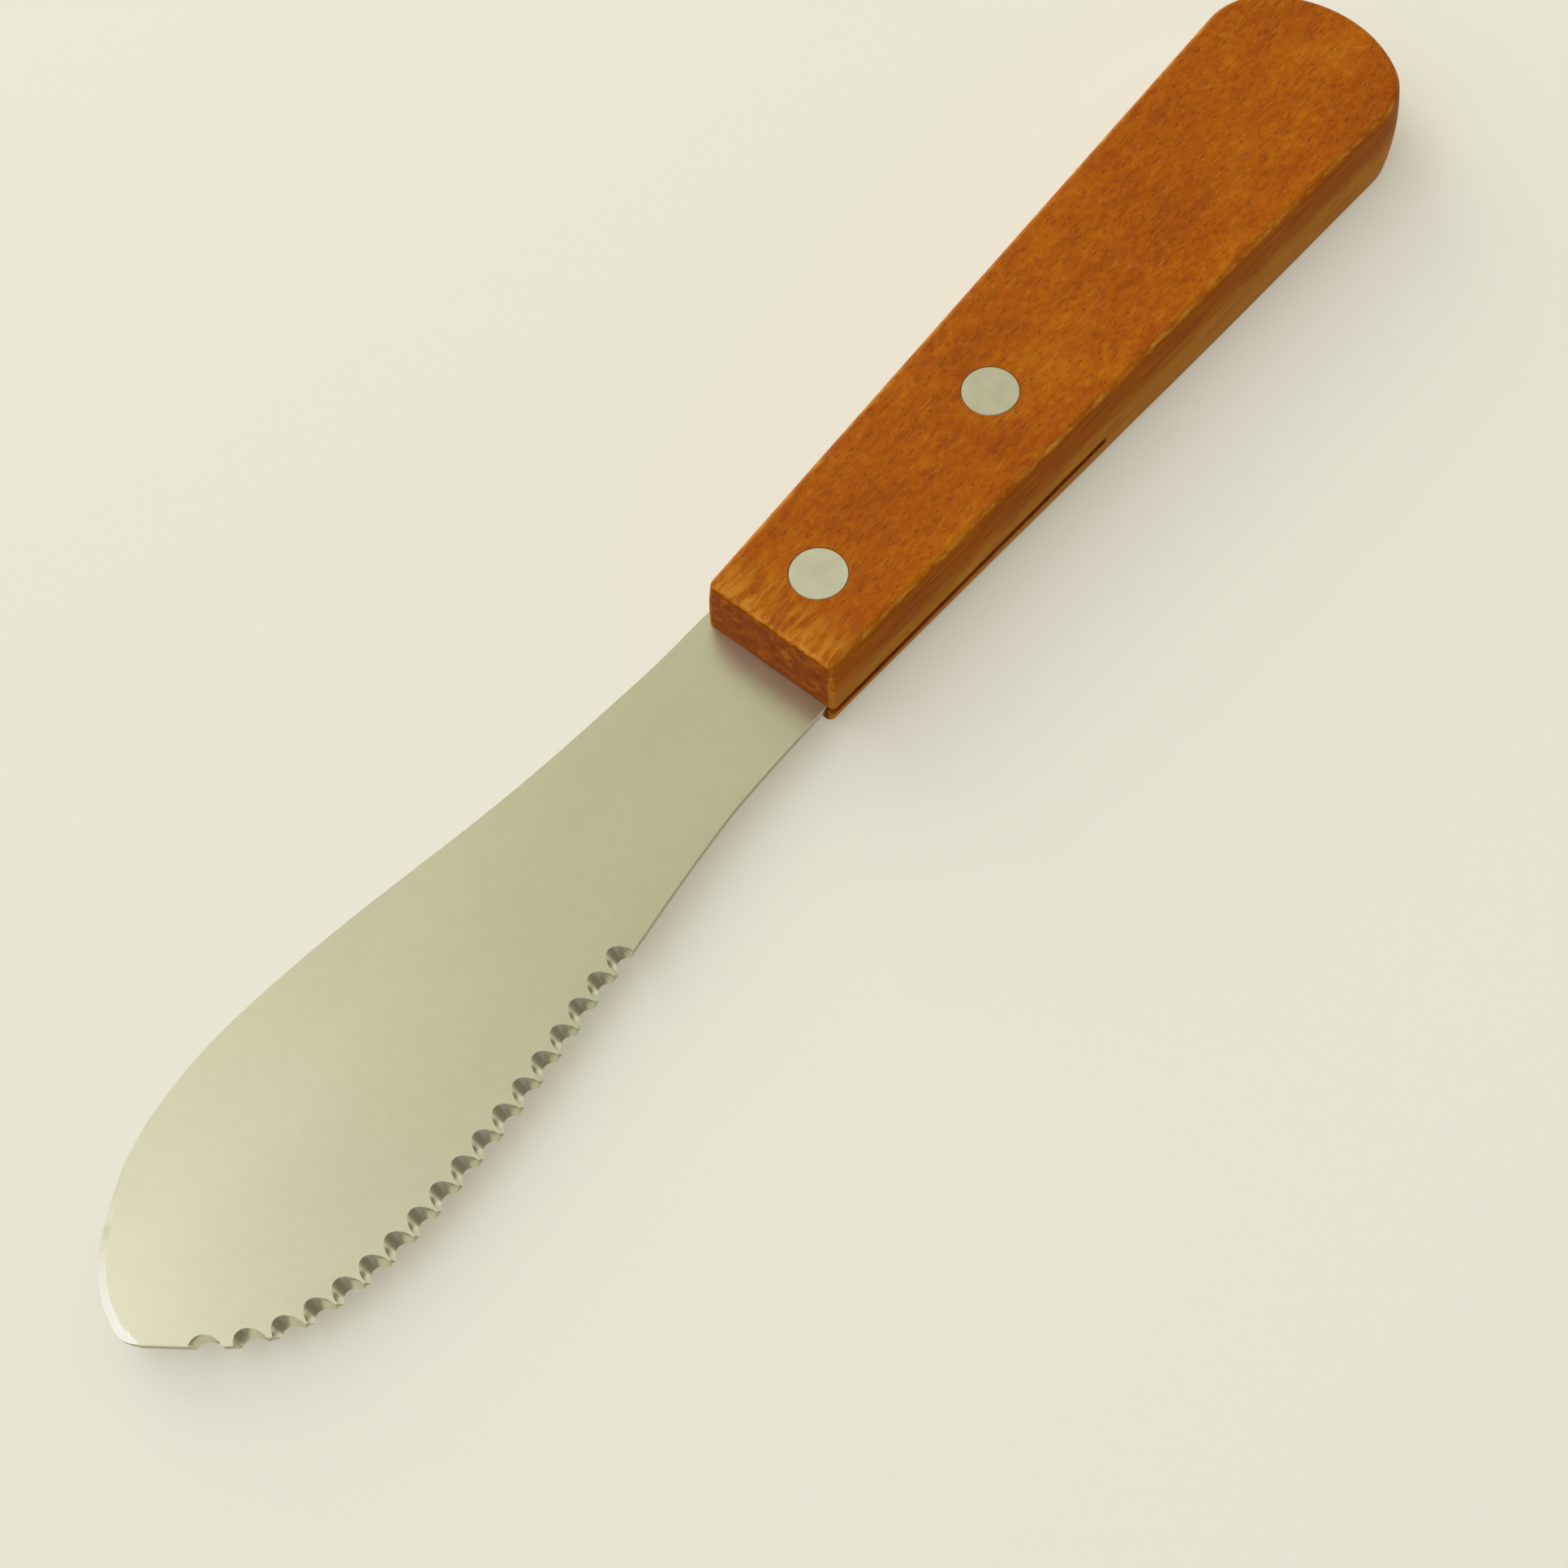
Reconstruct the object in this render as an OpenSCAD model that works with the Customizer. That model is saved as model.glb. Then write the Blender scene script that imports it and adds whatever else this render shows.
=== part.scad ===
// Butter knife for spreading: a slotted hardwood handle, a steel spreader blade
// whose half tang sits in the slot, and two aluminium cutlery rivets through both.
// Millimetres. The knife lies flat: +X to the blade tip, +Y to the scalloped edge, +Z up.
// The origin is on the handle's flat underside, halfway along the handle.

/* [Handle] */
// Length of the wooden handle
handle_l = 107.2; // [98:0.4:120]
// Width of the flat faces at the front end
handle_front_w = 17; // [16:0.2:19]
// Width of the flat faces where the butt starts to round
handle_rear_w = 24.8; // [22:0.2:28]
// Thickness of the handle
handle_t = 12.6; // [11.8:0.2:16]
// How far the sides swell past the flat faces at mid height
side_bulge = 0.5; // [0.3:0.1:1.5]
// Radius of the eased long edges
edge_r = 0.8; // [0.5:0.1:1.2]
// Radius of the butt's two corners, seen from above
butt_corner_r = 8; // [6:0.2:10.8]
// Radius of the butt's end between those corners
butt_end_r = 15.5; // [14.3:0.1:22]
// Radius of the front end's upright corner on the spine's side, seen from above
spine_corner_r = 1; // [0.8:0.1:2.5]
// Radius of the front end's upright corner on the scalloped edge's side
edge_corner_r = 0.6; // [0.4:0.1:1.5]
// How far the front end leans back on its way up to the upper face
front_lean = 0.6; // [0:0.1:1]

/* [Blade] */
// Free length of the blade in front of the handle
blade_l = 97.4; // [90:0.2:108]
// Thickness of the sheet
blade_t = 1.1; // [1:0.05:1.4]
// Height of the sheet's lower face above the handle's underside
blade_z = 3.5; // [3:0.1:4.2]
// Spine's distance from the rivet line at the handle
neck_spine = 9.7; // [9:0.1:10.2]
// Edge's distance from the rivet line at the handle
neck_edge = 8; // [7.4:0.1:8.6]
// Greatest distance of the spine from the rivet line
spine_reach = 16.7; // [14.5:0.1:18]
// Greatest distance of the scalloped edge from the rivet line
edge_reach = 13.9; // [12:0.1:15.5]
// Width of the bevel round the tip
tip_bevel_w = 0.9; // [0.4:0.1:1.2]
// Depth of that bevel, down from the upper face
tip_bevel_h = 0.55; // [0.3:0.05:0.7]

/* [Scallops] */
// Number of ground scallops
scallop_count = 18; // [14:1:20]
// Start of the first scallop, measured from the handle
scallop_start = 34.4; // [30:0.1:37]
// Plain length left between the last scallop and the tip
tip_plain = 2.7; // [2:0.1:6]
// Depth of a scallop in the upper face
scallop_depth_top = 2.2; // [1.6:0.1:2.6]
// Depth of a scallop in the lower face
scallop_depth_bottom = 0.8; // [0.3:0.1:1.2]

/* [Tang and rivets] */
// Length of the tang inside the handle
tang_l = 43.5; // [41:0.5:46]
// Width of the tang at its rear end
tang_end_w = 14; // [12:0.5:16]
// Distance from the handle's front to the first rivet
rivet_inset = 9; // [8:0.2:11]
// Distance between the rivets
rivet_gap = 30; // [26:0.5:30]
// Diameter of the rivet heads
head_d = 6.6; // [6:0.1:7.4]
// Thickness of the rivet heads
head_t = 1.4; // [1:0.1:1.6]
// Outer diameter of the sleeve that passes through the tang
sleeve_d = 4.6; // [4.2:0.1:5]
// Diameter of the post pressed into the sleeve
post_d = 3; // [2.6:0.1:3.2]

/* [Fits] */
// Play of the tang in the slot, both faces together
slot_play = 0.1; // [0.06:0.02:0.2]
// Play of heads, sleeve and post on their diameters
round_play = 0.1; // [0.06:0.02:0.2]
// Free slot behind the end of the tang
slot_relief = 3.8; // [2:0.2:5]

/* [Hidden] */
$fn = 96;

// how far every cutting tool runs past the stock
overrun = 1;
// radius of the saw that cuts the slot, which rounds the slot's end
saw_r = 80;
// radius of the tang's two rear corners
tang_corner_r = 3;
// depth of the blind bottom under the post, inside the sleeve
sleeve_floor = 1.6;
// gap left between the sleeve's mouth and the post's head
sleeve_gap = 0.8;
// tiny break on the rim of the heads
head_break = 0.12;
// steps along a butt corner, the butt's end, a front corner, an eased edge and a
// side's swell
butt_steps = 11;
end_steps = 6;
corner_steps = 5;
ease_steps = 4;
bulge_steps = 8;
// steps between two neighbouring rows of the blade's outline
row_steps = 5;
// rows of the outline, counted back from the tip, that carry the bevel, and how many
// of them it takes to reach its full depth
bevel_rows = 7;
bevel_rise_rows = 2;
// width of a scallop as a share of the closest spacing, the rest is left as the tooth
scallop_share = 0.97;
// share by which the spacing closes up towards the tip
closing_share = 0.02;
// depth of the last scallop as a share of what the others' rule gives
last_cut_share = 0.65;

front_x = handle_l / 2;
blade_top = blade_z + blade_t;
front_rivet_x = front_x - rivet_inset;
rear_rivet_x = front_rivet_x - rivet_gap;
scallop_run = blade_l - scallop_start - tip_plain;
scallop_r = scallop_run / scallop_count * (1 - closing_share) * scallop_share / 2;

// The blade's outline on both sides of the rivet line, from the handle on.
// Each row: [share of the free length, share of the way from the neck to the widest place].
spine_shares = [
    [0, 0], [0.07, 0.02], [0.14, 0.09], [0.21, 0.17], [0.28, 0.27], [0.36, 0.42],
    [0.44, 0.6], [0.53, 0.79], [0.61, 0.92], [0.68, 0.99], [0.72, 1]
];
edge_shares = [
    [0, 0], [0.08, 0], [0.155, 0.03], [0.215, 0.12], [0.28, 0.25], [0.35, 0.41],
    [0.425, 0.55], [0.495, 0.71], [0.565, 0.85], [0.635, 0.94], [0.7, 1], [0.77, 0.97]
];
// Each row: [share of the free length, share of the greatest reach], on round the tip.
spine_tip_shares = [
    [0.77, 0.98], [0.82, 0.935], [0.86, 0.865], [0.895, 0.78], [0.925, 0.685],
    [0.955, 0.56], [0.98, 0.395], [0.993, 0.25], [1, 0.1], [0.993, -0.02]
];
edge_tip_shares = [
    [0.835, 0.915], [0.87, 0.84], [0.895, 0.75], [0.93, 0.57], [0.963, 0.3]
];

function side_rows(near, far, neck, reach) = concat(
    [for (s = near) [front_x + blade_l * s[0], neck + (reach - neck) * s[1]]],
    [for (s = far) [front_x + blade_l * s[0], reach * s[1]]]
);

// unit direction of the curve at row i
function run_at(p, i) =
    let (a = p[max(i - 1, 0)], b = p[min(i + 1, len(p) - 1)])
    (b - a) / (norm(b - p[i]) + norm(p[i] - a));
// a smooth curve through all rows
function smooth(p) = concat(
    [
        for (i = [0 : len(p) - 2], k = [0 : row_steps - 1])
        let (t = k / row_steps, d = norm(p[i + 1] - p[i]), t2 = t * t, t3 = t2 * t)
        p[i] * (2 * t3 - 3 * t2 + 1) + run_at(p, i) * d * (t3 - 2 * t2 + t)
            + p[i + 1] * (3 * t2 - 2 * t3) + run_at(p, i + 1) * d * (t3 - t2)
    ],
    [p[len(p) - 1]]
);
function reversed(p) = [for (i = [len(p) - 1 : -1 : 0]) p[i]];

spine_line = smooth(side_rows(spine_shares, spine_tip_shares, neck_spine, spine_reach));
edge_line = smooth(side_rows(edge_shares, edge_tip_shares, neck_edge, edge_reach));

// radius and centre of the barrel profile of the sides, measured from the flat
// faces' outline
bulge_r = (side_bulge * side_bulge + handle_t * handle_t / 4) / (2 * side_bulge);
bulge_c = side_bulge - bulge_r;
ease_c = bulge_c + sqrt(pow(bulge_r - edge_r, 2) - pow(handle_t / 2 - edge_r, 2));
ease_a = atan2(handle_t / 2 - edge_r, ease_c - bulge_c);

// The side's profile from the underside up: [distance outward, height].
side_profile = concat(
    [
        for (k = [0 : ease_steps - 1])
        let (a = -90 + (90 - ease_a) * k / ease_steps)
        [ease_c + edge_r * cos(a), edge_r + edge_r * sin(a)]
    ],
    [
        for (k = [0 : bulge_steps])
        let (a = ease_a * (2 * k / bulge_steps - 1))
        [bulge_c + bulge_r * cos(a), handle_t / 2 + bulge_r * sin(a)]
    ],
    [
        for (k = [1 : ease_steps])
        let (a = ease_a + (90 - ease_a) * k / ease_steps)
        [ease_c + edge_r * cos(a), handle_t - edge_r + edge_r * sin(a)]
    ]
);

// The butt is a wide end arc between two corner arcs. These are the centres of both
// and the direction in which they meet, seen from above.
butt_end = [butt_end_r - front_x, 0];
corner_y = handle_rear_w / 2 - butt_corner_r;
butt_corner = [
    butt_end[0] - sqrt(pow(butt_end_r - butt_corner_r, 2) - pow(corner_y, 2)),
    corner_y
];
meet_a = atan2(corner_y, butt_corner[0] - butt_end[0]);

// The side lines touch the butt's corners and run through the front corners. side_a is
// the direction in which they face.
side_run = [front_x, handle_front_w / 2] - butt_corner;
side_a = atan2(side_run[1], side_run[0]) + acos(butt_corner_r / norm(side_run));

function arc(c, r, from, to, steps, z) = [
    for (k = [0 : steps])
    let (a = from + (to - from) * k / steps)
    [c[0] + r * cos(a), c[1] + r * sin(a), z]
];
function inner(p) = [for (i = [1 : len(p) - 2]) p[i]];
function across(c) = [c[0], -c[1]];

// Centre of a front corner of radius r, which touches the side line and the front line.
// The front end stays flat, so there only the eased edges step back.
function front_corner(side, r, out, z) =
    let (
        n = [cos(side_a), side * sin(side_a)],
        along = n * [butt_corner[0], side * corner_y] + butt_corner_r + out - r,
        ahead = front_x + min(out, 0) - front_lean * z / handle_t - r
    )
    [ahead, (along - ahead * n[0]) / n[1]];

// The handle's outline at one level, once round from the front.
function ring(out, z) = concat(
    arc(front_corner(1, edge_corner_r, out, z), edge_corner_r, 0, side_a, corner_steps, z),
    arc(butt_corner, butt_corner_r + out, side_a, meet_a, butt_steps, z),
    inner(arc(butt_end, butt_end_r + out, meet_a, 360 - meet_a, end_steps, z)),
    arc(across(butt_corner), butt_corner_r + out, 360 - meet_a, 360 - side_a, butt_steps, z),
    arc(front_corner(-1, spine_corner_r, out, z), spine_corner_r, -side_a, 0, corner_steps, z)
);

// the tapered slab with its round butt and barrel sides, ring upon ring
module handle_blank() {
    rings = [for (s = side_profile) ring(s[0], s[1])];
    n = len(rings[0]);
    top = len(rings) - 1;
    polyhedron(
        points = [for (r = rings, q = r) q],
        faces = concat(
            [[for (i = [0 : n - 1]) i]],
            [[for (i = [n - 1 : -1 : 0]) top * n + i]],
            [
                for (k = [0 : top - 1], i = [0 : n - 1])
                let (next = (i + 1) % n)
                [k * n + i, (k + 1) * n + i, (k + 1) * n + next, k * n + next]
            ]
        ),
        convexity = 4
    );
}

module handle() {
    color("chocolate")
        difference() {
            handle_blank();
            slot();
            for (x = [front_rivet_x, rear_rivet_x])
                translate([x, 0])
                    rivet_hole();
        }
}

// the saw runs in from the front, so the slot ends in the saw's own curve
module slot() {
    root_x = front_x - tang_l - slot_relief;
    translate([root_x + saw_r, 0, blade_z - slot_play / 2])
        cylinder(r = saw_r, h = blade_t + slot_play, $fn = 240);
}

module rivet_hole() {
    translate([0, 0, -overrun])
        cylinder(d = sleeve_d + round_play, h = handle_t + 2 * overrun);
    translate([0, 0, -overrun])
        cylinder(d = head_d + round_play, h = head_t + overrun);
    translate([0, 0, handle_t - head_t])
        cylinder(d = head_d + round_play, h = head_t + overrun);
}

// the sheet's outline, with the half tang that reaches past the rear rivet
module blade_outline() {
    tang_x = front_x - tang_l;
    polygon(concat(
        [for (p = spine_line) [p[0], -p[1]]],
        reversed(edge_line),
        [
            [tang_x + tang_corner_r, tang_end_w / 2],
            for (a = [15 : 15 : 75])
                [tang_x + tang_corner_r * (1 - sin(a)),
                 tang_end_w / 2 - tang_corner_r * (1 - cos(a))],
            [tang_x, tang_end_w / 2 - tang_corner_r],
            [tang_x, tang_corner_r - tang_end_w / 2],
            for (a = [75 : -15 : 15])
                [tang_x + tang_corner_r * (1 - sin(a)),
                 tang_corner_r * (1 - cos(a)) - tang_end_w / 2],
            [tang_x + tang_corner_r, -tang_end_w / 2]
        ]
    ));
}

// One scallop: the rim of a slanting grinding wheel, run in from the upper face.
// It starts at x = y = 0 on the line of the tooth tips. A cut_share of 1 is full depth.
module scallop(cut_share) {
    drift = (scallop_depth_top - scallop_depth_bottom) * cut_share;
    lean = atan2(drift, blade_t);
    half_cut = scallop_r / cos(lean);
    past = 2 * half_cut;
    translate([0, half_cut - scallop_depth_top * cut_share, blade_top])
        rotate([lean, 0, 0])
            translate([0, 0, -past])
                cylinder(r = scallop_r, h = 2 * past);
}

// the steeper the edge line falls towards the tip, the shallower the wheel cuts
module scallops() {
    for (i = [0 : scallop_count - 1]) {
        u = (i + 1 / 2) / scallop_count;
        x = front_x + scallop_start + scallop_run * (u + closing_share * u * (1 - u));
        fall = lookup(x - scallop_r, edge_line) - lookup(x + scallop_r, edge_line);
        slope_share = 2 * scallop_r / norm([2 * scallop_r, fall]);
        translate([x, lookup(x, edge_line), 0])
            scallop(i < scallop_count - 1 ? slope_share : slope_share * last_cut_share);
    }
}

// a narrow flat ground round the tip, one facet to each step of the outline
module tip_bevel() {
    first = row_steps * (len(spine_shares) + len(spine_tip_shares) - bevel_rows);
    last = len(spine_line) - 1;
    fall = atan2(tip_bevel_h, tip_bevel_w);
    for (i = [first : last - 1]) {
        a = [spine_line[i][0], -spine_line[i][1]];
        b = [spine_line[i + 1][0], -spine_line[i + 1][1]];
        run = norm(b - a);
        grow = min(1, (i - first + 1) / (row_steps * bevel_rise_rows));
        translate([a[0], a[1], blade_top - tip_bevel_h * grow])
            rotate(atan2(b[1] - a[1], b[0] - a[0]))
                rotate([fall, 0, 0])
                    translate([-run / 2, -2 * overrun, 0])
                        cube([2 * run, 4 * overrun, 2 * overrun]);
    }
}

module blade() {
    color("silver")
        difference() {
            translate([0, 0, blade_z])
                linear_extrude(blade_t)
                    blade_outline();
            scallops();
            tip_bevel();
            for (x = [front_rivet_x, rear_rivet_x])
                translate([x, 0, blade_z - overrun])
                    cylinder(d = sleeve_d + round_play, h = blade_t + 2 * overrun);
        }
}

// Each rivet is a post with a flat head, pressed into a sleeve with the same head.
// This is the head, lying on z = 0, its rim broken on the outside.
module head() {
    rotate_extrude()
        polygon([
            [0, 0],
            [head_d / 2 - head_break, 0],
            [head_d / 2, head_break],
            [head_d / 2, head_t],
            [0, head_t]
        ]);
}

module sleeve() {
    difference() {
        union() {
            head();
            cylinder(d = sleeve_d, h = handle_t - head_t - sleeve_gap);
        }
        translate([0, 0, sleeve_floor])
            cylinder(d = post_d + round_play, h = handle_t);
    }
}

module post() {
    foot_z = sleeve_floor + sleeve_gap;
    translate([0, 0, handle_t])
        mirror([0, 0, 1])
            head();
    translate([0, 0, foot_z])
        cylinder(d = post_d, h = handle_t - head_t / 2 - foot_z);
}

module front_rivet_post() {
    color("gainsboro")
        translate([front_rivet_x, 0])
            post();
}

module front_rivet_sleeve() {
    color("darkgray")
        translate([front_rivet_x, 0])
            sleeve();
}

module rear_rivet_post() {
    color("gainsboro")
        translate([rear_rivet_x, 0])
            post();
}

module rear_rivet_sleeve() {
    color("darkgray")
        translate([rear_rivet_x, 0])
            sleeve();
}

blade();
handle();
front_rivet_post();
front_rivet_sleeve();
rear_rivet_post();
rear_rivet_sleeve();
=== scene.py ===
import math

import bmesh
import bpy
from mathutils import Matrix, Vector


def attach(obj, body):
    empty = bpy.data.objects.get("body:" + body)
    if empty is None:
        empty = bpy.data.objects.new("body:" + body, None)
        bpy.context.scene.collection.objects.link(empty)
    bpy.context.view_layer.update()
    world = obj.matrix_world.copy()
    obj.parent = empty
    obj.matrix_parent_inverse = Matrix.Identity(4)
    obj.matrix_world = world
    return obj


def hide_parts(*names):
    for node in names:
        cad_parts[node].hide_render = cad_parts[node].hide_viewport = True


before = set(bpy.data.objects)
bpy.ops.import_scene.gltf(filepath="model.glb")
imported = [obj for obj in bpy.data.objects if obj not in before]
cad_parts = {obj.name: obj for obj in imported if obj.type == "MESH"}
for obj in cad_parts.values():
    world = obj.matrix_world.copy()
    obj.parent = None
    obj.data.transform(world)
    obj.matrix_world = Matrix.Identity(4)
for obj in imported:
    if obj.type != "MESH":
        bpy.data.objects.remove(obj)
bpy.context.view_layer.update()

MM = 0.001

# Sizes of the part, in metres, as its source has them.
HANDLE_L = 107.2 * MM
FRONT_W = 17 * MM
REAR_W = 24.8 * MM
HANDLE_T = 12.6 * MM
BULGE = 0.5 * MM
EDGE_R = 0.8 * MM
BUTT_CORNER_R = 8 * MM
BUTT_END_R = 15.5 * MM
SPINE_CORNER_R = 1 * MM
EDGE_CORNER_R = 0.6 * MM
FRONT_LEAN = 0.6 * MM
WORN_R, WORN_FROM, WORN_ENDS, WORN_FRONT_SHARE = 2.8 * MM, -20 * MM, 5 * MM, 0.7
BLADE_L = 97.4 * MM
BLADE_T = 1.1 * MM
BLADE_Z = 3.5 * MM
NECK_SPINE, NECK_EDGE = 9.7 * MM, 8.0 * MM
SPINE_REACH, EDGE_REACH = 16.7 * MM, 13.9 * MM
BEVEL_W, BEVEL_H = 0.9 * MM, 0.55 * MM
SCALLOPS = 18
SCALLOP_START, TIP_PLAIN = 34.4 * MM, 2.7 * MM
DEPTH_TOP, DEPTH_BOTTOM = 2.2 * MM, 0.8 * MM
SCALLOP_SHARE, CLOSING_SHARE, LAST_CUT_SHARE = 0.97, 0.02, 0.65
TANG_L, TANG_END_W, TANG_R = 43.5 * MM, 14 * MM, 3 * MM
RIVET_INSET, RIVET_GAP = 9 * MM, 30 * MM
HEAD_D, HEAD_T, SLEEVE_D = 6.6 * MM, 1.4 * MM, 4.6 * MM
SLOT_PLAY, ROUND_PLAY, SLOT_RELIEF = 0.1 * MM, 0.1 * MM, 3.8 * MM
SAW_R = 80 * MM
SEAT_PLAY = 0.02 * MM
OVER = 1 * MM

FRONT_X = HANDLE_L / 2
BLADE_TOP = BLADE_Z + BLADE_T
RIVETS = (FRONT_X - RIVET_INSET, FRONT_X - RIVET_INSET - RIVET_GAP)

SPINE_SHARES = [
    (0, 0), (0.07, 0.02), (0.14, 0.09), (0.21, 0.17), (0.28, 0.27), (0.36, 0.42),
    (0.44, 0.6), (0.53, 0.79), (0.61, 0.92), (0.68, 0.99), (0.72, 1),
]
EDGE_SHARES = [
    (0, 0), (0.08, 0), (0.155, 0.03), (0.215, 0.12), (0.28, 0.25), (0.35, 0.41),
    (0.425, 0.55), (0.495, 0.71), (0.565, 0.85), (0.635, 0.94), (0.7, 1), (0.77, 0.97),
]
SPINE_TIP_SHARES = [
    (0.77, 0.98), (0.82, 0.935), (0.86, 0.865), (0.895, 0.78), (0.925, 0.685),
    (0.955, 0.56), (0.98, 0.395), (0.993, 0.25), (1, 0.1), (0.993, -0.02),
]
EDGE_TIP_SHARES = [(0.835, 0.915), (0.87, 0.84), (0.895, 0.75), (0.93, 0.57), (0.963, 0.3)]

# How finely the curves are stepped. The saw's cut is one step to a degree.
ROW_STEPS = 10
EASE_STEPS, BULGE_STEPS = 6, 18
EDGE_CORNER_STEPS, SPINE_CORNER_STEPS = 10, 12
BUTT_CORNER_STEPS, BUTT_END_STEPS = 36, 24
SIDE_STEPS, FRONT_STEPS = 40, 8
SAW_SPREAD = 16
TANG_CORNER_STEPS = 8
ROUND_SEGMENTS, WHEEL_SEGMENTS = 96, 80

# The ground rim of the tip, in rows and steps of the spine's line.
BEVEL_ROWS, BEVEL_RISE_ROWS, BEVEL_FADE_STEPS = 7, 2, 7
BEVEL_LEAST, BEVEL_WASTE = 0.02, 0.3 * MM

# The blade's fine edges, and the angles in degrees from which an edge is sharp.
BURR_W, BURR_SEGMENTS, BURR_ANGLE = 0.06 * MM, 2, 32
HANDLE_SHARP, BLADE_SHARP = 40, 30
FLAT = 0.9999

FLOOR_SIZE, FLOOR_DROP, FLOOR_GLOW = 6, 0.02 * MM, 0.4

# What the sky adds to its plain level: high up, low down and on the dim side.
SKY_PLAIN, SKY_TOP, SKY_LOW, SKY_DIM = 0.60, 2.5, 0.5, -0.38


def mesh_object(name, verts, faces):
    me = bpy.data.meshes.new(name)
    me.from_pydata([tuple(v) for v in verts], [], faces)
    me.validate()
    bm = bmesh.new()
    bm.from_mesh(me)
    bmesh.ops.recalc_face_normals(bm, faces=bm.faces)
    if bm.calc_volume(signed=True) < 0:
        bmesh.ops.reverse_faces(bm, faces=bm.faces)
    bm.to_mesh(me)
    bm.free()
    ob = bpy.data.objects.new(name, me)
    bpy.context.scene.collection.objects.link(ob)
    return ob


def cylinder(name, radius, low, high, place=Matrix(), segments=ROUND_SEGMENTS):
    verts, faces = [], []
    for z in (low, high):
        for k in range(segments):
            a = 2 * math.pi * k / segments
            verts.append(place @ Vector((radius * math.cos(a), radius * math.sin(a), z)))
    for k in range(segments):
        n = (k + 1) % segments
        faces.append((k, n, segments + n, segments + k))
    faces.append(tuple(range(segments - 1, -1, -1)))
    faces.append(tuple(range(segments, 2 * segments)))
    return mesh_object(name, verts, faces)


def prism(name, outline, low, high):
    n = len(outline)
    verts = [(x, y, z) for z in (low, high) for x, y in outline]
    faces = [(k, (k + 1) % n, n + (k + 1) % n, n + k) for k in range(n)]
    faces += [tuple(range(n - 1, -1, -1)), tuple(range(n, 2 * n))]
    return mesh_object(name, verts, faces)


def settle(ob):
    """Applies the object's modifiers to its mesh."""
    dg = bpy.context.evaluated_depsgraph_get()
    me = bpy.data.meshes.new_from_object(ob.evaluated_get(dg))
    ob.modifiers.clear()
    ob.data = me


def cut(ob, cutters):
    for c in cutters:
        m = ob.modifiers.new("cut", "BOOLEAN")
        m.operation = "DIFFERENCE"
        m.solver = "EXACT"
        m.object = c
    settle(ob)
    for c in cutters:
        bpy.data.objects.remove(c, do_unlink=True)


def shade(ob, degrees):
    """Smooth shading, but level faces stay exactly flat."""
    me = ob.data
    me.set_sharp_from_angle(angle=math.radians(degrees))
    for p in me.polygons:
        p.use_smooth = abs(p.normal.z) < FLAT


def bevel(ob, width, segments, degrees):
    m = ob.modifiers.new("edges", "BEVEL")
    m.width = width
    m.segments = segments
    m.limit_method = "ANGLE"
    m.angle_limit = math.radians(degrees)


# The handle's outline and the profile of its sides.
BULGE_R = (BULGE ** 2 + HANDLE_T ** 2 / 4) / (2 * BULGE)
BULGE_C = BULGE - BULGE_R
EASE_C = BULGE_C + math.sqrt((BULGE_R - EDGE_R) ** 2 - (HANDLE_T / 2 - EDGE_R) ** 2)
EASE_A = math.atan2(HANDLE_T / 2 - EDGE_R, EASE_C - BULGE_C)
BUTT_END_X = BUTT_END_R - FRONT_X
CORNER_Y = REAR_W / 2 - BUTT_CORNER_R
CORNER_X = BUTT_END_X - math.sqrt((BUTT_END_R - BUTT_CORNER_R) ** 2 - CORNER_Y ** 2)
MEET_A = math.atan2(CORNER_Y, CORNER_X - BUTT_END_X)
SIDE_RUN = math.hypot(FRONT_X - CORNER_X, FRONT_W / 2 - CORNER_Y)
SIDE_A = (math.atan2(FRONT_W / 2 - CORNER_Y, FRONT_X - CORNER_X)
          + math.acos(BUTT_CORNER_R / SIDE_RUN))
SIDE_COS, SIDE_SIN = math.cos(SIDE_A), math.sin(SIDE_A)


def side_profile():
    """How far the side stands out, and at which height, from the lower face to the upper."""
    rows = []
    for k in range(EASE_STEPS):
        a = -math.pi / 2 + (math.pi / 2 - EASE_A) * k / EASE_STEPS
        rows.append((EASE_C + EDGE_R * math.cos(a), EDGE_R + EDGE_R * math.sin(a)))
    for k in range(BULGE_STEPS + 1):
        a = EASE_A * (2 * k / BULGE_STEPS - 1)
        rows.append((BULGE_C + BULGE_R * math.cos(a), HANDLE_T / 2 + BULGE_R * math.sin(a)))
    for k in range(1, EASE_STEPS + 1):
        a = EASE_A + (math.pi / 2 - EASE_A) * k / EASE_STEPS
        rows.append((EASE_C + EDGE_R * math.cos(a), HANDLE_T - EDGE_R + EDGE_R * math.sin(a)))
    return rows


def arc(c, r, start, end, steps):
    angles = (start + (end - start) * k / steps for k in range(steps + 1))
    return [(c[0] + r * math.cos(a), c[1] + r * math.sin(a)) for a in angles]


def front_corner(side, r, out, z):
    along = SIDE_COS * CORNER_X + SIDE_SIN * CORNER_Y + BUTT_CORNER_R + out - r
    ahead = FRONT_X + min(out, 0) - FRONT_LEAN * z / HANDLE_T - r
    return ahead, side * (along - ahead * SIDE_COS) / SIDE_SIN


def along_line(a, b, steps):
    run = (b[0] - a[0], b[1] - a[1])
    return [(a[0] + run[0] * k / steps, a[1] + run[1] * k / steps) for k in range(1, steps)]


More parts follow.
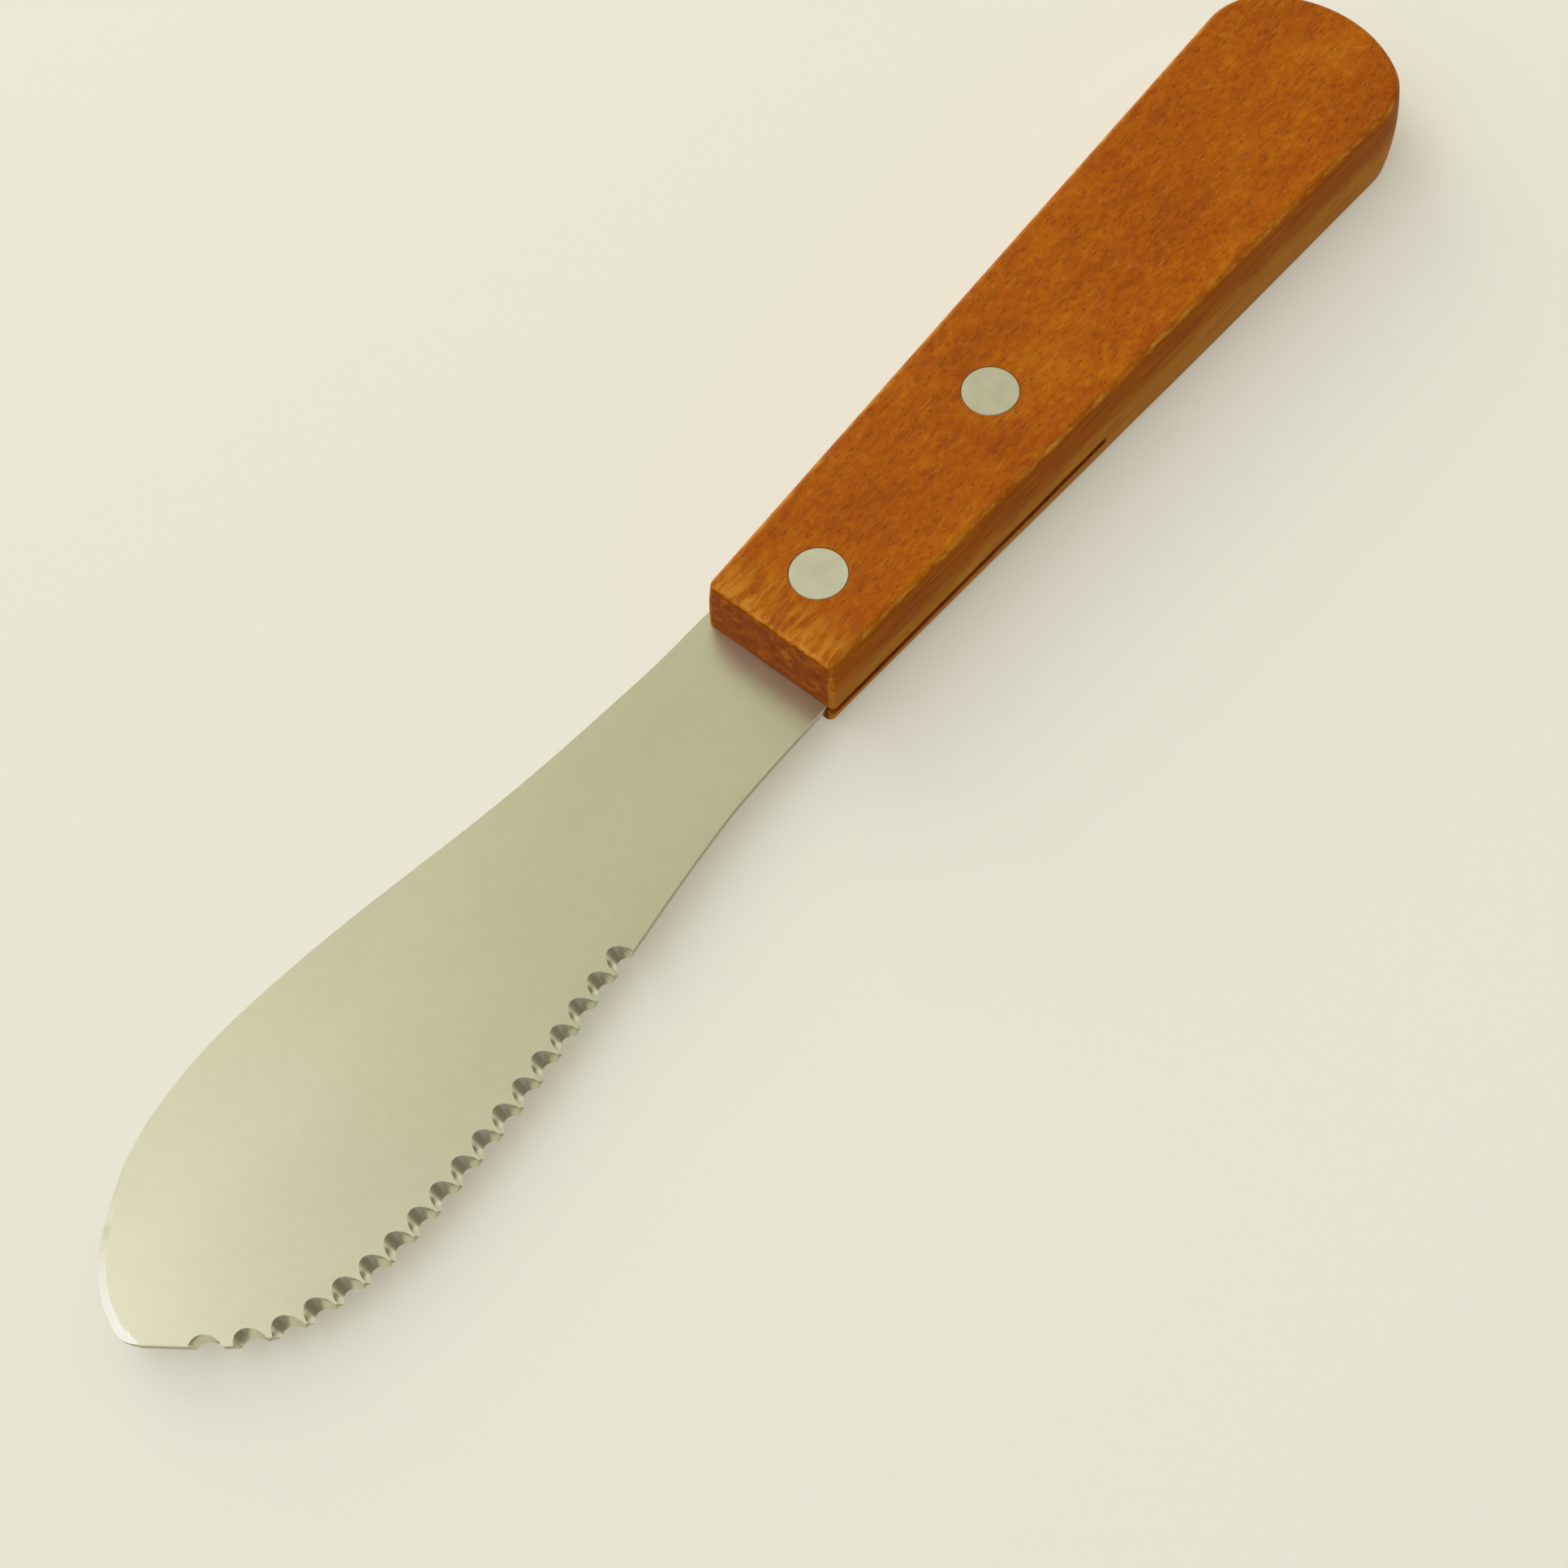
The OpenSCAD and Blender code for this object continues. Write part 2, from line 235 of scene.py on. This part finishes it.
def ring(out, z):
    """The handle's outline at height z, where its sides stand out by out."""
    full = 2 * math.pi
    r = BUTT_CORNER_R + out
    edge = arc(front_corner(1, EDGE_CORNER_R, out, z),
               EDGE_CORNER_R, 0, SIDE_A, EDGE_CORNER_STEPS)
    upper = arc((CORNER_X, CORNER_Y), r, SIDE_A, MEET_A, BUTT_CORNER_STEPS)
    end = arc((BUTT_END_X, 0), BUTT_END_R + out, MEET_A, full - MEET_A, BUTT_END_STEPS)[1:-1]
    lower = arc((CORNER_X, -CORNER_Y), r, full - MEET_A, full - SIDE_A, BUTT_CORNER_STEPS)
    spine = arc(front_corner(-1, SPINE_CORNER_R, out, z),
                SPINE_CORNER_R, -SIDE_A, 0, SPINE_CORNER_STEPS)
    return (edge + along_line(edge[-1], upper[0], SIDE_STEPS) + upper + end + lower
            + along_line(lower[-1], spine[0], SIDE_STEPS) + spine
            + along_line(spine[-1], edge[0], FRONT_STEPS))


def ease(value, low, high):
    t = min(1, max(0, (value - low) / (high - low)))
    return t * t * (3 - 2 * t)


def rounding(r, z):
    """How far a lower edge of radius r stands back at height z."""
    return r - math.sqrt(r * r - (r - z) ** 2) if z < r else 0


def worn(x, y, z):
    """The lower edges get rounder towards the handle's front end."""
    r = EDGE_R + (WORN_R - EDGE_R) * ease(x, WORN_FROM, FRONT_X)
    shift = rounding(r, z) - rounding(EDGE_R, z)
    back = shift * WORN_FRONT_SHARE * ease(x, FRONT_X - WORN_ENDS, FRONT_X - EDGE_R)
    return x - back, y * (1 - shift / (FRONT_W / 2)), z


def make_handle():
    verts, faces = [], []
    rows = side_profile()
    for out, z in rows:
        level = ring(out, z)
        n = len(level)
        verts += [worn(x, y, z) for x, y in level]
    for k in range(len(rows) - 1):
        for i in range(n):
            j = (i + 1) % n
            faces.append((k * n + i, k * n + j, (k + 1) * n + j, (k + 1) * n + i))
    faces.append(tuple(range(n - 1, -1, -1)))
    top = (len(rows) - 1) * n
    faces.append(tuple(range(top, top + n)))
    ob = mesh_object("wooden_handle", verts, faces)

    root = FRONT_X - TANG_L - SLOT_RELIEF
    outline = []
    for k in range(-SAW_SPREAD, SAW_SPREAD + 1):
        a = math.pi + math.radians(k)
        outline.append((root + SAW_R + SAW_R * math.cos(a), SAW_R * math.sin(a)))
    outline = [(FRONT_X + OVER, REAR_W)] + outline + [(FRONT_X + OVER, -REAR_W)]
    kerf = prism("kerf", outline, BLADE_Z - SLOT_PLAY / 2, BLADE_TOP + SLOT_PLAY / 2)
    cutters = [kerf]
    for x in RIVETS:
        at = Matrix.Translation((x, 0, 0))
        cutters.append(cylinder("bore", (SLEEVE_D + ROUND_PLAY) / 2, -OVER, HANDLE_T + OVER, at))
        for low, high in ((-OVER, HEAD_T), (HANDLE_T - HEAD_T, HANDLE_T + OVER)):
            cutters.append(cylinder("seat", (HEAD_D + SEAT_PLAY) / 2, low, high, at))
    cut(ob, cutters)
    shade(ob, HANDLE_SHARP)
    return ob


def side_rows(near, far, neck, reach):
    rows = [(FRONT_X + BLADE_L * s, neck + (reach - neck) * w) for s, w in near]
    return rows + [(FRONT_X + BLADE_L * s, reach * w) for s, w in far]


def smooth(p):
    """A smooth curve through the points p, with ROW_STEPS steps from each to the next."""
    p = [Vector(q) for q in p]

    def run_at(i):
        a, b = p[max(i - 1, 0)], p[min(i + 1, len(p) - 1)]
        return (b - a) / ((b - p[i]).length + (p[i] - a).length)

    out = []
    for i in range(len(p) - 1):
        d = (p[i + 1] - p[i]).length
        for k in range(ROW_STEPS):
            t = k / ROW_STEPS
            t2, t3 = t * t, t * t * t
            out.append(p[i] * (2 * t3 - 3 * t2 + 1) + run_at(i) * d * (t3 - 2 * t2 + t)
                       + p[i + 1] * (3 * t2 - 2 * t3) + run_at(i + 1) * d * (t3 - t2))
    return out + [p[-1]]


SPINE_ROWS = side_rows(SPINE_SHARES, SPINE_TIP_SHARES, NECK_SPINE, SPINE_REACH)
SPINE_LINE = [Vector((q.x, -q.y)) for q in smooth(SPINE_ROWS)]
EDGE_LINE = smooth(side_rows(EDGE_SHARES, EDGE_TIP_SHARES, NECK_EDGE, EDGE_REACH))


def edge_at(x):
    for a, b in zip(EDGE_LINE, EDGE_LINE[1:]):
        if a.x <= x <= b.x:
            return a.y + (b.y - a.y) * (x - a.x) / (b.x - a.x)
    return EDGE_LINE[-1].y


def make_blade():
    tang_x = FRONT_X - TANG_L
    tang = []
    for side in (1, -1):
        corner = []
        for k in range(TANG_CORNER_STEPS + 1):
            a = math.pi / 2 * k / TANG_CORNER_STEPS
            corner.append((tang_x + TANG_R * (1 - math.sin(a)),
                           side * (TANG_END_W / 2 - TANG_R * (1 - math.cos(a)))))
        tang += corner if side > 0 else corner[::-1]
    outline = [tuple(q) for q in SPINE_LINE] + [tuple(q) for q in EDGE_LINE[::-1]] + tang
    ob = prism("spreading_blade", outline, BLADE_Z, BLADE_TOP)

    run = BLADE_L - SCALLOP_START - TIP_PLAIN
    radius = run / SCALLOPS * (1 - CLOSING_SHARE) * SCALLOP_SHARE / 2
    cutters = []
    for i in range(SCALLOPS):
        u = (i + 0.5) / SCALLOPS
        x = FRONT_X + SCALLOP_START + run * (u + CLOSING_SHARE * u * (1 - u))
        fall = edge_at(x - radius) - edge_at(x + radius)
        share = 2 * radius / math.hypot(2 * radius, fall)
        if i == SCALLOPS - 1:
            share *= LAST_CUT_SHARE
        lean = math.atan2((DEPTH_TOP - DEPTH_BOTTOM) * share, BLADE_T)
        half_cut = radius / math.cos(lean)
        place = (Matrix.Translation((x, edge_at(x) + half_cut - DEPTH_TOP * share, BLADE_TOP))
                 @ Matrix.Rotation(lean, 4, "X"))
        reach = 3 * half_cut
        cutters.append(cylinder("wheel", radius, -reach, reach, place, WHEEL_SEGMENTS))
    for x in RIVETS:
        at = Matrix.Translation((x, 0, 0))
        cutters.append(cylinder("hole", (SLEEVE_D + ROUND_PLAY) / 2, 0, HANDLE_T, at))
    cutters.append(tip_bevel())
    cut(ob, cutters)
    bevel(ob, BURR_W, BURR_SEGMENTS, BURR_ANGLE)
    settle(ob)
    for p in ob.data.polygons:
        if abs(p.normal.z) > FLAT:
            for v in p.vertices:
                ob.data.vertices[v].co.z = BLADE_TOP if p.normal.z > 0 else BLADE_Z
    shade(ob, BLADE_SHARP)
    return ob


def tip_bevel():
    """The waste above a narrow ground rim of the tip, which widens from nothing and ends
    in nothing."""
    last = len(SPINE_LINE) - 1
    first = last - ROW_STEPS * BEVEL_ROWS
    slope = BEVEL_H / BEVEL_W
    verts, faces = [], []
    for i in range(first, last + 1):
        p = SPINE_LINE[i]
        run = (SPINE_LINE[min(i + 1, last)] - SPINE_LINE[max(i - 1, 0)]).normalized()
        inward = Vector((-run.y, run.x))
        rise = (i - first) / (BEVEL_RISE_ROWS * ROW_STEPS)
        fade = (last - i) / BEVEL_FADE_STEPS
        h = BEVEL_H * min(1, BEVEL_LEAST + rise, BEVEL_LEAST + fade)
        high = BEVEL_WASTE + h
        inner = p + inward * (high / slope)
        outer = p - inward * OVER
        z = BLADE_TOP - h
        verts += [
            (inner.x, inner.y, z + high),
            (outer.x, outer.y, z + high),
            (outer.x, outer.y, z - slope * OVER),
        ]
        if i == last:
            ext = run * OVER
            for v in verts[-3:]:
                verts.append((v[0] + ext.x, v[1] + ext.y, v[2]))
    n = len(verts) // 3
    for i in range(n - 1):
        for k in range(3):
            m = (k + 1) % 3
            faces.append((3 * i + k, 3 * i + m, 3 * i + 3 + m, 3 * i + 3 + k))
    faces += [(0, 1, 2), (3 * n - 1, 3 * n - 2, 3 * n - 3)]
    return mesh_object("bevel", verts, faces)


class Tree:
    """Short calls for building the nodes of a material or of the world."""

    def __init__(self, owner):
        self.owner = owner
        owner.use_nodes = True
        self.nt = owner.node_tree
        self.nt.nodes.clear()

    def link(self, a, b):
        self.nt.links.new(a, b)

    def put(self, value, socket):
        if isinstance(value, bpy.types.NodeSocket):
            self.link(value, socket)
        else:
            socket.default_value = value

    def node(self, kind, **props):
        n = self.nt.nodes.new(kind)
        for k, v in props.items():
            setattr(n, k, v)
        return n

    def math(self, op, a, b=0.0, c=0.0, clamp=False):
        n = self.node("ShaderNodeMath", operation=op, use_clamp=clamp)
        for v, s in zip((a, b, c), n.inputs):
            self.put(v, s)
        return n.outputs[0]

    def surface(self):
        bsdf = self.node("ShaderNodeBsdfPrincipled")
        self.link(bsdf.outputs[0], self.node("ShaderNodeOutputMaterial").inputs[0])
        return bsdf

    def dot(self, a, b, ka, kb):
        return self.math("ADD", self.math("MULTIPLY", a, ka), self.math("MULTIPLY", b, kb))

    def length(self, a, b):
        squares = [self.math("MULTIPLY", v, v) for v in (a, b)]
        return self.math("SQRT", self.math("ADD", *squares))

    def inverse(self, value):
        return self.math("SUBTRACT", 1.0, value)

    def pick(self, which, a, b):
        """a where which is 0, and b where it is 1."""
        return self.math("MULTIPLY_ADD", which, self.math("SUBTRACT", b, a), a)

    def coords(self, scale=(1, 1, 1), offset=(0, 0, 0)):
        tc = self.node("ShaderNodeTexCoord")
        mp = self.node("ShaderNodeMapping")
        mp.inputs["Scale"].default_value = scale
        mp.inputs["Location"].default_value = offset
        self.link(tc.outputs["Object"], mp.inputs["Vector"])
        return mp.outputs[0]

    def noise(self, scale, detail=4, rough=0.5, distort=0.0, offset=(0, 0, 0)):
        n = self.node("ShaderNodeTexNoise")
        self.link(self.coords(scale, offset), n.inputs["Vector"])
        n.inputs["Scale"].default_value = 1.0
        n.inputs["Detail"].default_value = detail
        n.inputs["Roughness"].default_value = rough
        n.inputs["Distortion"].default_value = distort
        return n.outputs["Fac"]

    def steps(self, value, low, high):
        n = self.node("ShaderNodeMapRange", interpolation_type="SMOOTHSTEP")
        self.put(value, n.inputs["Value"])
        n.inputs["From Min"].default_value = low
        n.inputs["From Max"].default_value = high
        return n.outputs[0]

    def ramp(self, value, stops):
        n = self.node("ShaderNodeValToRGB")
        self.put(value, n.inputs[0])
        el = n.color_ramp.elements
        while len(el) < len(stops):
            el.new(0.5)
        for e, (pos, col) in zip(el, stops):
            e.position = pos
            e.color = (*col, 1)
        return n.outputs[0]

    def mix(self, fac, a, b, blend="MIX"):
        n = self.node("ShaderNodeMix", data_type="RGBA", blend_type=blend)
        self.put(fac, n.inputs[0])
        for v, s in ((a, n.inputs[6]), (b, n.inputs[7])):
            self.put((*v, 1) if isinstance(v, tuple) else v, s)
        return n.outputs[2]

    def bump(self, height, distance, strength=1.0, normal=None):
        n = self.node("ShaderNodeBump")
        n.inputs["Distance"].default_value = distance
        n.inputs["Strength"].default_value = strength
        self.put(height, n.inputs["Height"])
        if normal is not None:
            self.link(normal, n.inputs["Normal"])
        return n.outputs[0]


def wood_material():
    t = Tree(bpy.data.materials.new("stained_hardwood"))
    bsdf = t.surface()
    tc = t.node("ShaderNodeTexCoord")
    sep = t.node("ShaderNodeSeparateXYZ")
    t.link(tc.outputs["Object"], sep.inputs[0])
    x, y, z = sep.outputs
    geo = t.node("ShaderNodeNewGeometry")
    nsep = t.node("ShaderNodeSeparateXYZ")
    t.link(geo.outputs["Normal"], nsep.inputs[0])
    up = t.math("ABSOLUTE", nsep.outputs[2])
    flat = t.steps(up, 0.6, 0.9)
    front = t.math("MULTIPLY", t.steps(nsep.outputs[0], 0.75, 0.95),
                   t.steps(x, FRONT_X - 4 * MM, FRONT_X - 1 * MM))

    # how near the edges of the upper and lower face are, and the front's upright corners
    ay = t.math("ABSOLUTE", y)
    cx, cy = t.math("SUBTRACT", x, CORNER_X), t.math("SUBTRACT", ay, CORNER_Y)
    ex = t.math("SUBTRACT", x, BUTT_END_X)
    side_d = t.math("SUBTRACT", t.dot(cx, cy, SIDE_COS, SIDE_SIN), BUTT_CORNER_R)
    corner_d = t.math("SUBTRACT", t.length(cx, cy), BUTT_CORNER_R)
    end_d = t.math("SUBTRACT", t.length(ex, ay), BUTT_END_R)
    on_side = t.math("GREATER_THAN", t.dot(cx, cy, SIDE_SIN, -SIDE_COS), 0.0)
    on_end = t.math("GREATER_THAN", t.dot(ex, ay, -math.sin(MEET_A), math.cos(MEET_A)), 0.0)
    rim_d = t.pick(on_side, t.pick(on_end, corner_d, end_d), side_d)
    front_d = t.math("SUBTRACT", t.math("MULTIPLY_ADD", z, FRONT_LEAN / HANDLE_T, x), FRONT_X)
    out_d = t.math("MINIMUM", t.math("MAXIMUM", rim_d, front_d), 0.0)
    face_d = t.math("MINIMUM", z, t.math("SUBTRACT", HANDLE_T, z))
    edge_d = t.length(out_d, face_d)
    upright_d = t.length(t.math("MINIMUM", rim_d, 0.0), front_d)

    wear_n = t.noise((340, 900, 900), 5, 0.65, 0.4)
    reach = t.math("MULTIPLY_ADD", wear_n, 1.3 * MM, -0.40 * MM)
    front_near = t.steps(x, FRONT_X - 8 * MM, FRONT_X - 0.5 * MM)
    wear = t.inverse(t.steps(t.math("SUBTRACT", edge_d, reach), -0.15 * MM, 0.20 * MM))
    worn_off = t.inverse(t.steps(t.math("SUBTRACT", upright_d, reach), -0.25 * MM, 0.2 * MM))
    wear = t.math("MAXIMUM", wear, worn_off)
    wear = t.math("MULTIPLY", wear, t.math("MULTIPLY_ADD", front_near, -0.35, 1.0))

    # colour of the stained wood
    grain = t.noise((620, 1150, 1150), 5, 0.62, 0.5)
    blotch = t.noise((75, 160, 160), 4, 0.55, 0.3, (3, 1, 2))
    tone = t.math("ADD", t.math("MULTIPLY", grain, 0.55), t.math("MULTIPLY", blotch, 0.45))
    base = t.ramp(tone, [
        (0.30, (0.262, 0.050, 0.0004)),
        (0.44, (0.340, 0.074, 0.0003)),
        (0.54, (0.398, 0.100, 0.0003)),
        (0.68, (0.475, 0.152, 0.0015)),
    ])
    pores = t.steps(t.noise((900, 3400, 3400), 3, 0.6, 0.2, (5, 7, 1)), 0.57, 0.68)
    base = t.mix(t.math("MULTIPLY", pores, 0.5), base, (0.150, 0.032, 0.003))
    fibres = t.steps(t.noise((480, 3000, 3000), 3, 0.6, 0.3, (9, 2, 4)), 0.63, 0.72)
    base = t.mix(t.math("MULTIPLY", fibres, 0.4), base, (0.56, 0.23, 0.02))

    # paler streaks near the front
    gold = t.steps(t.noise((190, 1300, 1300), 4, 0.6, 0.4, (6, 2, 8)), 0.42, 0.60)
    gold = t.math("MULTIPLY", t.math("MULTIPLY", gold, front_near), 0.75)
    base = t.mix(gold, base, (0.56, 0.23, 0.016))

    # sides: a redder band above, a paler one below as painted bounce light, the palest leaf
    # under the kerf
    wob = t.noise((60, 300, 300), 3, 0.5, 0.0, (2, 8, 5))
    level = t.math("ADD", z, t.math("MULTIPLY", t.math("SUBTRACT", wob, 0.5), 3 * MM))
    # painted light: the lower half of each side is made paler, as if lit from the floor below
    low = t.inverse(t.steps(level, 6.0 * MM, 9.0 * MM))
    streak = t.noise((120, 2600, 2600), 5, 0.6, 0.2, (1, 3, 6))
    side_high = t.ramp(streak, [(0.3, (0.290, 0.058, 0.0006)), (0.7, (0.480, 0.135, 0.0015))])
    side_painted_bounce = t.ramp(streak, [(0.3, (0.380, 0.115, 0.0020)), (0.7, (0.640, 0.260, 0.0200))])
    side = t.mix(low, side_high, side_painted_bounce)
    leaf = t.inverse(t.steps(z, BLADE_Z - 0.8 * MM, BLADE_Z))
    side = t.mix(t.math("MULTIPLY", leaf, 0.55), side, (0.58, 0.26, 0.05))
    col = t.mix(flat, side, base)

    # end grain at the front
    end_n = t.noise((900, 700, 900), 5, 0.6, 0.5, (4, 4, 9))
    end = t.ramp(end_n, [
        (0.3, (0.170, 0.028, 0.0004)),
        (0.55, (0.280, 0.060, 0.0006)),
        (0.75, (0.480, 0.150, 0.0050)),
    ])
    col = t.mix(front, col, end)

    # worn edges show the pale wood under the stain
    pale = t.ramp(t.noise((500, 1600, 1600), 4, 0.6), [
        (0.35, (0.46, 0.17, 0.006)),
        (0.65, (0.66, 0.31, 0.04)),
    ])
    col = t.mix(t.math("MULTIPLY", wear, 0.8), col, pale)
    t.link(col, bsdf.inputs["Base Color"])

    rough = t.math("MULTIPLY_ADD", grain, 0.22, 0.36)
    t.put(t.math("MULTIPLY_ADD", wear, 0.12, rough), bsdf.inputs["Roughness"])
    t.put(t.math("MULTIPLY_ADD", flat, 0.22, 0.08), bsdf.inputs["Specular IOR Level"])
    bsdf.inputs["IOR"].default_value = 1.25
    height = t.math("SUBTRACT", t.math("MULTIPLY", grain, 0.5), t.math("MULTIPLY", pores, 0.5))
    relief = t.bump(height, 0.10 * MM, 0.8)
    relief = t.bump(t.noise((1500, 5000, 5000), 3, 0.6), 0.03 * MM, 0.6, relief)
    t.link(relief, bsdf.inputs["Normal"])
    return t.owner


def steel_material():
    t = Tree(bpy.data.materials.new("satin_steel"))
    bsdf = t.surface()
    bsdf.inputs["Metallic"].default_value = 1.0
    cloud = t.noise((28, 40, 60), 3, 0.5, 0.4)
    fine = t.noise((700, 700, 700), 4, 0.6)
    spots = t.steps(t.noise((170, 190, 200), 2, 0.4, 0.0, (4, 1, 7)), 0.68, 0.78)
    tone = t.math("ADD", t.math("MULTIPLY", cloud, 0.7), t.math("MULTIPLY", fine, 0.3))
    col = t.ramp(tone, [(0.3, (0.615, 0.597, 0.425)), (0.7, (0.655, 0.64, 0.462))])
    col = t.mix(t.math("MULTIPLY", spots, 0.10), col, (0.52, 0.52, 0.44))

    # painted shade: the sheet's upright walls are painted dark, for the shadowed floor they
    # mirror;
    # painted highlights: the tip's bevelled rim and the scallops' walls towards the handle are
    # painted paler
    nsep = t.node("ShaderNodeSeparateXYZ")
    t.link(t.node("ShaderNodeNewGeometry").outputs["Normal"], nsep.inputs[0])
    nx, nz = nsep.outputs[0], nsep.outputs[2]
    # painted shade: upright faces get a dark brown colour
    painted_wall_shade = t.inverse(t.steps(t.math("ABSOLUTE", nz), 0.02, 0.12))
    col = t.mix(t.math("MULTIPLY", painted_wall_shade, 0.8), col, (0.26, 0.21, 0.12))
    # painted highlight: the bevelled rim of the tip and the walls facing the handle get a pale
    # colour
    rim = t.math("MULTIPLY", t.steps(nx, 0.15, 0.35), t.steps(nz, 0.60, 0.75))
    painted_wall_highlight = t.steps(t.math("MULTIPLY", nx, -1.0), 0.20, 0.50)
    painted_wall_highlight = t.math("SUBTRACT", painted_wall_highlight, t.steps(nz, 0.90, 0.97), clamp=True)
    col = t.mix(t.math("MAXIMUM", rim, painted_wall_highlight), col, (0.86, 0.84, 0.69))
    t.link(col, bsdf.inputs["Base Color"])
    rough = t.math("MULTIPLY_ADD", fine, 0.03, 0.245)
    t.put(t.math("MULTIPLY_ADD", cloud, 0.05, rough), bsdf.inputs["Roughness"])
    return t.owner


def rivet_material():
    t = Tree(bpy.data.materials.new("satin_aluminium"))
    bsdf = t.surface()
    bsdf.inputs["Metallic"].default_value = 1.0
    scratch = t.noise((1500, 9000, 4000), 3, 0.6, 0.2)
    cloud = t.noise((350, 350, 350), 3, 0.5)
    col = t.ramp(cloud, [(0.3, (0.53, 0.52, 0.37)), (0.7, (0.61, 0.60, 0.44))])
    t.link(col, bsdf.inputs["Base Color"])
    t.put(t.math("MULTIPLY_ADD", scratch, 0.16, 0.36), bsdf.inputs["Roughness"])
    t.link(t.bump(scratch, 0.01 * MM, 0.5), bsdf.inputs["Normal"])
    return t.owner


pieces = (
    (make_handle(), wood_material(), "handle", "handle_wood"),
    (make_blade(), steel_material(), "blade", "blade_steel"),
)
for piece, material, node, slot in pieces:
    piece.data.materials.append(material)
    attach(piece, "root")
    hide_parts(node)

rivet_metal = rivet_material()
for name in ("front_rivet_post", "front_rivet_sleeve", "rear_rivet_post", "rear_rivet_sleeve"):
    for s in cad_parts[name].material_slots:
        s.material = rivet_metal

half = FLOOR_SIZE / 2
corners = [(-half, -half, 0), (half, -half, 0), (half, half, 0), (-half, half, 0)]
floor = mesh_object("floor", corners, [(0, 1, 2, 3)])
floor.location.z = -FLOOR_DROP
plain = Tree(bpy.data.materials.new("pale_floor"))
paper = plain.node("ShaderNodeBsdfPrincipled")
paper.inputs["Base Color"].default_value = (0.83, 0.81, 0.695, 1)
paper.inputs["Roughness"].default_value = 0.9
paper.inputs["Specular IOR Level"].default_value = 0.1

# the floor's pale colour also shows a little in the shadows, for the camera and the steel
glow = plain.node("ShaderNodeEmission")
glow.inputs["Color"].default_value = (0.79, 0.76, 0.62, 1)
seen = plain.node("ShaderNodeLightPath")
shown = plain.math("MAXIMUM", seen.outputs["Is Camera Ray"], seen.outputs["Is Glossy Ray"])
shown = plain.math("MAXIMUM", shown, seen.outputs["Is Transmission Ray"])

floor_mix = plain.node("ShaderNodeMixShader")
plain.link(plain.math("MULTIPLY", shown, FLOOR_GLOW), floor_mix.inputs[0])
plain.link(paper.outputs[0], floor_mix.inputs[1])
plain.link(glow.outputs[0], floor_mix.inputs[2])
plain.link(floor_mix.outputs[0], plain.node("ShaderNodeOutputMaterial").inputs[0])
floor.data.materials.append(plain.owner)

world = bpy.data.worlds.new("studio")
bpy.context.scene.world = world
sky = Tree(world)
sky_light = sky.node("ShaderNodeBackground")
sky_seen = sky.node("ShaderNodeBackground")
sky_mix = sky.node("ShaderNodeMixShader")
sky_dir = sky.node("ShaderNodeSeparateXYZ")
sky.link(sky.node("ShaderNodeTexCoord").outputs["Generated"], sky_dir.inputs[0])

# a room with its brightest part high up beyond the blade's tip, a paler one low down
# ahead, and darker on the side that the scallops face
sky_x, sky_y, sky_z = sky_dir.outputs
ahead = sky.dot(sky_x, sky_y, 0.9, -0.45)
top_light = sky.math("MULTIPLY", sky.steps(ahead, 0.12, 0.27), sky.steps(sky_z, 0.66, 0.86))
low_light = sky.steps(ahead, 0.50, 0.90)
facing = sky.math("MULTIPLY_ADD", sky_x, 0.35, sky.dot(sky_y, sky_z, 0.88, 0.12))
dim = sky.steps(facing, 0.1, 0.6)
level = sky.math("MULTIPLY_ADD", top_light, SKY_TOP, SKY_PLAIN)
level = sky.math("MULTIPLY_ADD", low_light, SKY_LOW, level)
sky.put(sky.math("MULTIPLY_ADD", dim, SKY_DIM, level), sky_light.inputs[1])
tint = sky.mix(low_light, (1.0, 0.975, 0.78), (0.96, 0.96, 1.05))
sky.put(sky.mix(top_light, tint, (0.93, 0.96, 1.15)), sky_light.inputs[0])

# past the floor's edge the camera sees one plain pale colour
sky_seen.inputs[0].default_value = (0.93, 0.92, 0.87, 1)
sky_seen.inputs[1].default_value = 1.0
sky.link(sky.node("ShaderNodeLightPath").outputs["Is Camera Ray"], sky_mix.inputs[0])
sky.link(sky_light.outputs[0], sky_mix.inputs[1])
sky.link(sky_seen.outputs[0], sky_mix.inputs[2])
sky.link(sky_mix.outputs[0], sky.node("ShaderNodeOutputWorld").inputs[0])


def area_lamp(name, towards, distance, target, size, power, colour):
    data = bpy.data.lights.new(name, "AREA")
    data.shape = "DISK"
    data.size = size
    data.energy = power
    data.color = colour
    ob = bpy.data.objects.new(name, data)
    bpy.context.scene.collection.objects.link(ob)
    d = Vector(towards).normalized()
    ob.location = Vector(target) + d * distance
    ob.rotation_euler = d.to_track_quat("Z", "Y").to_euler()


area_lamp("key", (-0.2, -0.85, 0.45), 1.2, (0.05, 0, 0), 1.0, 6, (1, 1, 0.95))

cam_data = bpy.data.cameras.new("camera")
cam_data.lens = 68.01
cam_data.sensor_width = 36
cam = bpy.data.objects.new("camera", cam_data)
cam.location = (0.16731, 0.11235, 0.28410)
cam.rotation_euler = (0.478093, 0.043641, 2.263075)
bpy.context.scene.collection.objects.link(cam)
bpy.context.scene.camera = cam
bpy.context.scene.view_settings.view_transform = "Standard"
